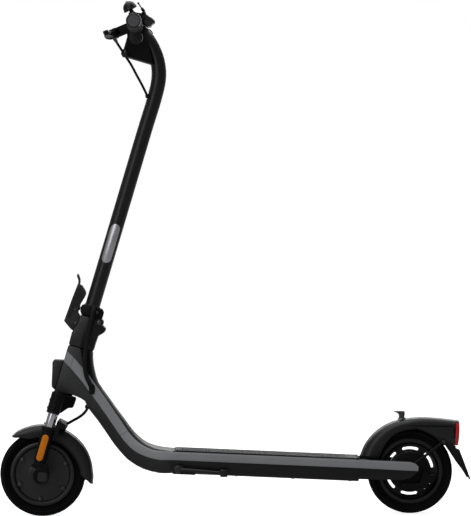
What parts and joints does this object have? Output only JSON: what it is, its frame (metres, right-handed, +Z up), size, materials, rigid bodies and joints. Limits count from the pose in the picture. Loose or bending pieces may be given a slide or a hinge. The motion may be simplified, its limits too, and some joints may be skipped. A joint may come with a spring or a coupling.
{
  "type": "electric kick scooter",
  "caption": "Folding electric kick scooter with a hub motor, sprung fork, drum brake, deck and side stand.",
  "frame": {"origin": "on the ground, midway between the front tyre's front and the mudflap's tip, in the middle of the width", "axes": "+X to the rear, +Y to the rider's right, +Z up"},
  "size_m": [1.1324, 0.445, 1.2313],
  "materials": {
    "frame_paint": "satin",
    "black_plastic": "matte",
    "gloss_black": "gloss",
    "grey_trim": "satin",
    "rubber": "matte",
    "mat_rubber": "matte",
    "tyre": "matte",
    "dark_steel": "satin",
    "chrome": "polished",
    "silver_plate": "brushed",
    "battery": "matte",
    "amber_lens": "gloss",
    "red_lens": "gloss",
    "clear_lens": "polished"
  },
  "bodies": {
    "frame": {"main_frame": "frame_paint", "nose_cover": "black_plastic", "deck_frame": "frame_paint", "deck_mat": "mat_rubber", "deck_bottom_cover": "black_plastic", "battery_pack": "battery", "side_trim_left": "grey_trim", "side_trim_right": "grey_trim", "cable_grommet": "rubber", "head_cable": "rubber", "rear_fender": "black_plastic", "rear_mudflap": "rubber", "tail_light_lens": "red_lens", "fender_hook": "dark_steel", "fender_stay_left": "dark_steel", "fender_stay_right": "dark_steel", "rear_axle": "dark_steel", "brake_backing_plate": "dark_steel", "kickstand_bracket": "frame_paint"},
    "steering": {"fork_crown": "frame_paint", "stanchion_left": "chrome", "stanchion_right": "chrome", "folding_base": "frame_paint", "fold_pin": "dark_steel"},
    "stem": {"stem_collar": "frame_paint", "stem_tube": "frame_paint", "stem_plate": "silver_plate", "handlebar": "frame_paint", "grip_left": "rubber", "grip_right": "rubber", "head_housing": "black_plastic", "headlight_lens": "clear_lens", "display_cover": "gloss_black", "brake_bracket": "black_plastic", "bell_dome": "gloss_black", "brake_cable": "rubber", "throttle_housing": "black_plastic"},
    "latch": {"latch_lever": "black_plastic"},
    "link": {"latch_link": "dark_steel"},
    "brake_handle": {"brake_lever": "dark_steel"},
    "throttle": {"throttle_paddle": "black_plastic"},
    "striker": {"bell_striker": "dark_steel"},
    "button": {"mode_button": "rubber"},
    "stand": {"kickstand": "frame_paint"},
    "drum_arm": {"brake_arm": "dark_steel"},
    "fork_lower": {"fork_leg_left": "frame_paint", "fork_leg_right": "frame_paint", "fork_brace": "frame_paint", "front_fender": "black_plastic", "reflector_left": "amber_lens", "reflector_right": "amber_lens", "axle_cap_left": "black_plastic", "axle_cap_right": "black_plastic", "motor_stator": "dark_steel", "motor_cable": "rubber"},
    "front_wheel": {"front_tyre": "tyre", "motor_shell": "frame_paint", "hub_cover": "frame_paint"},
    "rear_wheel": {"rear_tyre": "tyre", "rear_rim": "frame_paint"}
  },
  "joints": [
    {"name": "steer", "type": "hinge", "parent": "frame", "child": "steering", "pos_m": [-0.46365, 0, 0.1025], "axis": [0.2907, 0, 0.9568], "range_deg": [-45, 45], "deforming": ["head_cable", "motor_cable"]},
    {"name": "stem_fold", "type": "hinge", "parent": "steering", "child": "stem", "pos_m": [-0.32419, 0, 0.46554], "axis": [0, 1, 0], "range_deg": [0, 95]},
    {"name": "latch", "type": "hinge", "parent": "steering", "child": "latch", "pos_m": [-0.38094, 0, 0.46418], "axis": [0, -1, 0], "range_deg": [0, 52]},
    {"name": "latch_link_turn", "type": "hinge", "parent": "latch", "child": "link", "pos_m": [-0.382, 0, 0.49679], "axis": [0, -1, 0], "range_deg": [-31.2, 0]},
    {"name": "brake_pull", "type": "hinge", "parent": "stem", "child": "brake_handle", "pos_m": [-0.27939, -0.088, 1.15422], "axis": [-0.3827, 0, 0.9239], "range_deg": [0, 13], "stiffness_Nm_per_rad": 3, "springref_deg": -5.73},
    {"name": "drum_arm_turn", "type": "hinge", "parent": "frame", "child": "drum_arm", "pos_m": [0.39135, -0.026, 0.1145], "axis": [0, 1, 0], "range_deg": [0, 13]},
    {"name": "throttle_push", "type": "hinge", "parent": "stem", "child": "throttle", "pos_m": [-0.2332, 0.09, 1.17335], "axis": [0, 1, 0], "range_deg": [0, 25], "stiffness_Nm_per_rad": 0.3, "springref_deg": -17.19},
    {"name": "bell_strike", "type": "hinge", "parent": "stem", "child": "striker", "pos_m": [-0.2092, -0.088, 1.20265], "axis": [0, 1, 0], "range_deg": [0, 20], "stiffness_Nm_per_rad": 0.05, "springref_deg": -11.46},
    {"name": "button_press", "type": "slide", "parent": "stem", "child": "button", "axis": [-0.5992, 0, -0.8006], "range_m": [0, 0.0015], "stiffness_N_per_m": 600, "springref_m": -0.001},
    {"name": "stand_swing", "type": "hinge", "parent": "frame", "child": "stand", "pos_m": [-0.13665, -0.0693, 0.11401], "axis": [-0.0156, 0.9511, -0.3086], "range_deg": [0, 78]},
    {"name": "suspension", "type": "slide", "parent": "steering", "child": "fork_lower", "axis": [0.2907, 0, 0.9568], "range_m": [0, 0.016], "stiffness_N_per_m": 12000, "springref_m": -0.012, "deforming": ["motor_cable"]},
    {"name": "front_wheel_turn", "type": "hinge", "parent": "fork_lower", "child": "front_wheel", "pos_m": [-0.46365, 0, 0.1025], "axis": [0, 1, 0], "continuous": true},
    {"name": "rear_wheel_turn", "type": "hinge", "parent": "frame", "child": "rear_wheel", "pos_m": [0.42135, 0, 0.1025], "axis": [0, 1, 0], "continuous": true}
  ],
  "couplings": [
    {"joint": "latch_link_turn", "follows": "latch", "ratio": -0.6},
    {"joint": "drum_arm_turn", "follows": "brake_pull", "ratio": 1}
  ]
}
